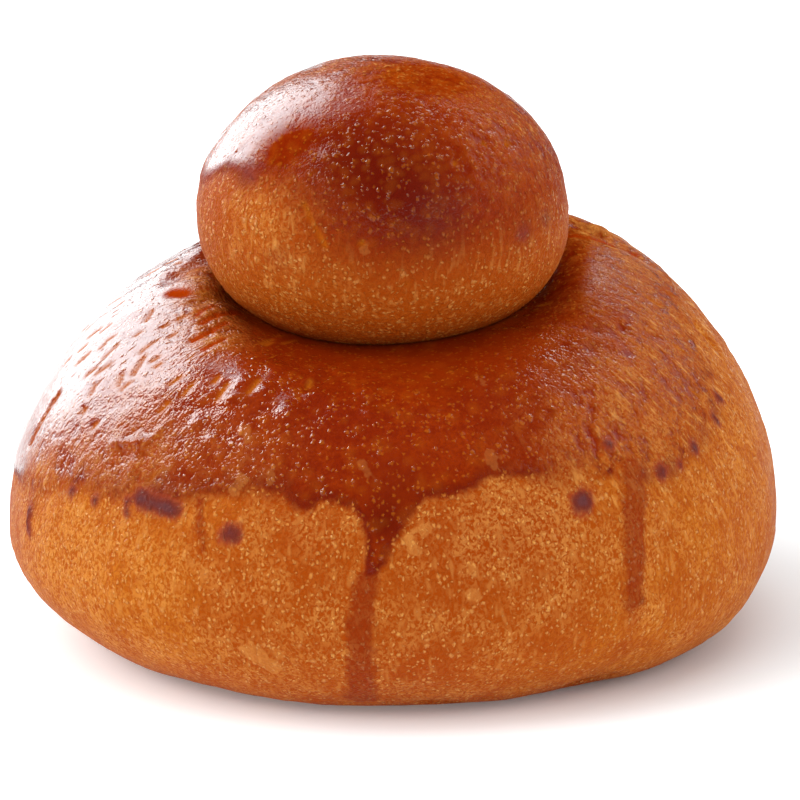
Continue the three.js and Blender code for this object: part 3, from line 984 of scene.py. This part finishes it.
class BRIOCHE_OT_topknot(bpy.types.Operator):
    """Makes the topknot: a whole ball, whose lower end is hidden in the bun"""

    bl_idname = "brioche.topknot"
    bl_label = "Make the topknot"

    def execute(self, context):
        scene = context.scene
        draw = np.random.default_rng(23)
        theta = np.linspace(0, 2 * np.pi, KNOT_COLUMNS, endpoint=False)[None, :]
        tilt = (np.pi * np.arange(KNOT_ROWS - 1, 0, -1) / KNOT_ROWS)[:, None]
        rings = knot_surface(scene.brioche_topknot, theta, tilt + 0 * theta)
        ends = knot_surface(scene.brioche_topknot, np.zeros(2), np.array([np.pi, 0]))
        fade = smooth((seam_angle(theta) + 0.05 - tilt) / 0.25) * smooth(tilt / 0.06)
        skin = Skin(rings, KNOT_CENTRE, fade)
        wash = wash_depth(skin, KNOT_GLAZE_EDGE) * (1 + 4 * tint(skin, KNOT_SHARP))
        beads = mark_depth(skin, KNOT_BEADS)
        flakes = mark_depth(skin, KNOT_FLAKES)

        skin.relief += 0.05 * ripple(rings, 10, 24, draw) + 0.015 * ripple(rings, 3, 24, draw)
        skin.relief += 0.12 * smooth(wash / 2) + 0.15 * smooth(beads + 0.3)
        golden = tint(skin, KNOT_GOLDEN)
        blistered = raise_blisters(skin, np.ones(wash.shape), 2400, (0.35, 0.9), (0.01, 0.05), draw)
        opened = carve(skin, KNOT_PITS)
        swell_up(skin, KNOT_BULGES)

        marks = {
            "wash": wash,
            "stain": np.full(wash.shape, OUTSIDE),
            "bead": beads,
            "flake": flakes,
            "scorch": 0.5 - 0.3 * golden,
            "thin": tint(skin, KNOT_THIN),
            "burnt": tint(skin, KNOT_BURNT),
            "frost": tint(skin, KNOT_FROSTED) - 0.8,
            "blister": blistered,
            "opened": opened,
            "fold": np.zeros(wash.shape),
            "dried": tint(skin, KNOT_DRIED),
            "bruise": tint(skin, KNOT_BRUISED),
            "torn": np.zeros(wash.shape),
            "golden": golden - 0.7,
            # How far from the seam each point is, for the painted shade in the crease.
            "seam": np.maximum(seam_angle(theta) - tilt, 0) * 20,
            "stretch": skin.rings * [1, 1, 0.8],
        }
        mesh = closed_mesh("topknot", skin.shaped(), *ends, marks)
        material = crust_material(
            "topknot crust", scene.brioche_crust, softness=5, squash=0.9, speckled=0.35, pooled=0, coarse=1.3
        )
        place_piece("topknot", mesh, material)
        return {"FINISHED"}


def panel_light(name, azimuth, elevation, spread, radiance, colour):
    """A soft panel far away in a direction, facing the bun. spread is half the angle that it covers, across
    and up, and the power follows from its area and its radiance."""
    far = 2.6
    width, height = (2 * far * math.tan(math.radians(angle)) for angle in spread)
    lamp = bpy.data.lights.new(name, "AREA")
    lamp.shape = "RECTANGLE"
    lamp.size, lamp.size_y = width, height
    lamp.energy = radiance * math.pi * width * height
    lamp.color = colour
    holder = bpy.data.objects.new(name, lamp)
    towards = Vector(ray(azimuth, elevation))
    holder.location = towards * far
    holder.rotation_euler = towards.to_track_quat("Z", "Y").to_euler()
    bpy.context.collection.objects.link(holder)
    holder.visible_camera = False
    return holder


class BRIOCHE_OT_stage(bpy.types.Operator):
    """Lays a plain white floor and sets up the camera, the softboxes and the white room"""

    bl_idname = "brioche.stage"
    bl_label = "Set the stage"

    def execute(self, context):
        scene = context.scene
        studio = scene.brioche_studio
        corners = [(-4, -4, 0), (4, -4, 0), (4, 4, 0), (-4, 4, 0)]
        mesh = bpy.data.meshes.new("floor")
        mesh.from_pydata(corners, [], [(0, 1, 2, 3)])
        material = bpy.data.materials.new("white floor")
        bench = Bench(material)
        spot = bench.add("ShaderNodeTexCoord", output="Object")
        away = bench.vector("DISTANCE", spot, SHADOW_MIDDLE, "Value")
        out = bench.vector("LENGTH", spot, output="Value")
        # Painted shadow: the glow drops towards SHADOW_MIDDLE and within about 40 mm of the middle of the
        # foot.
        painted_floor_light = bench.step(0.032, 0.078, away) * (bench.step(0.0365, 0.042, out) * 0.22 + 0.18)
        white = {
            "Base Color": (0.86, 0.90, 0.92, 1),
            "Roughness": 0.8,
            "Specular IOR Level": 0.1,
            "Emission Color": bench.mix(painted_floor_light, (0, 0, 0, 1), (1, 1, 1, 1)),
            "Emission Strength": studio.table,
        }
        surface = bench.add("ShaderNodeBsdfPrincipled", None, white)
        bench.add("ShaderNodeOutputMaterial", None, {"Surface": surface})
        mesh.materials.append(material)
        floor = bpy.data.objects.new("floor", mesh)
        context.collection.objects.link(floor)

        for azimuth, elevation, across, up, brightness in SOFTBOX_PANES:
            spread = (across * math.cos(math.radians(elevation)), up)
            tone = (1.0, 0.96, 0.88) if azimuth > 150 else (0.88, 0.98, 1.0)
            pane = panel_light("softbox", azimuth, elevation, spread, studio.sheen * brightness, tone)
            pane.visible_diffuse = False
        panel_light("side panel", 40, 32, (36, 22), studio.side, (1.0, 0.97, 0.95))
        for name, azimuth, elevation, radiance in (
            ("key light", 182, 38, studio.key),
            ("overhead light", 240, 76, studio.overhead),
            ("right light", 350, 18, studio.right),
        ):
            lamp = panel_light(name, azimuth, elevation, (28, 24), radiance, (1.0, 0.98, 0.96))
            lamp.visible_glossy = False

        world = bpy.data.worlds.new("white room")
        scene.world = world
        room = Bench(world)
        seen = room.add("ShaderNodeLightPath", output="Is Camera Ray")
        gleam = room.add("ShaderNodeLightPath", output="Is Glossy Ray")
        strength = seen + (1 - seen) * (gleam * studio.gleam + (1 - gleam) * studio.fill)
        tone = room.mix(seen, (1.0, 0.99, 0.99, 1), (1, 1, 1, 1))
        air = room.add("ShaderNodeBackground", None, {"Color": tone, "Strength": strength})
        room.add("ShaderNodeOutputWorld", None, {"Surface": air})
        scene.view_settings.view_transform = "Standard"

        back = Vector(ray(FRONT, CAMERA_ELEVATION))
        camera = bpy.data.cameras.new("camera")
        camera.lens = CAMERA_LENS
        camera.sensor_width = SENSOR_WIDTH
        camera.clip_start = 0.05
        camera.clip_end = 20
        holder = bpy.data.objects.new("camera", camera)
        holder.location = Vector(CAMERA_TARGET) * MM + back * CAMERA_AWAY
        holder.rotation_euler = back.to_track_quat("Z", "Y").to_euler()
        context.collection.objects.link(holder)
        scene.camera = holder
        return {"FINISHED"}


class VIEW3D_PT_brioche(bpy.types.Panel):
    """The brioche's sizes, colours and steps"""

    bl_label = "Brioche"
    bl_space_type = "VIEW_3D"
    bl_region_type = "UI"
    bl_category = "Brioche"

    def draw(self, context):
        scene = context.scene
        for group in (scene.brioche_bun, scene.brioche_topknot, scene.brioche_crust, scene.brioche_studio):
            box = self.layout.box()
            for name in group.bl_rna.properties.keys():
                if name not in ("rna_type", "name"):
                    box.prop(group, name)
        for operator in (BRIOCHE_OT_bun, BRIOCHE_OT_topknot, BRIOCHE_OT_stage):
            self.layout.operator(operator.bl_idname)


GROUPS = {
    "brioche_bun": BunSizes,
    "brioche_topknot": TopknotSizes,
    "brioche_crust": CrustLook,
    "brioche_studio": StudioLook,
}
OTHERS = (BRIOCHE_OT_bun, BRIOCHE_OT_topknot, BRIOCHE_OT_stage, VIEW3D_PT_brioche)


def register():
    for kind in (*GROUPS.values(), *OTHERS):
        bpy.utils.register_class(kind)
    for name, kind in GROUPS.items():
        setattr(bpy.types.Scene, name, bpy.props.PointerProperty(type=kind))


def unregister():
    for name in GROUPS:
        delattr(bpy.types.Scene, name)
    for kind in reversed((*GROUPS.values(), *OTHERS)):
        bpy.utils.unregister_class(kind)


def main():
    register()
    bpy.ops.brioche.bun()
    bpy.ops.brioche.topknot()
    bpy.ops.brioche.stage()


if __name__ == "__main__":
    main()
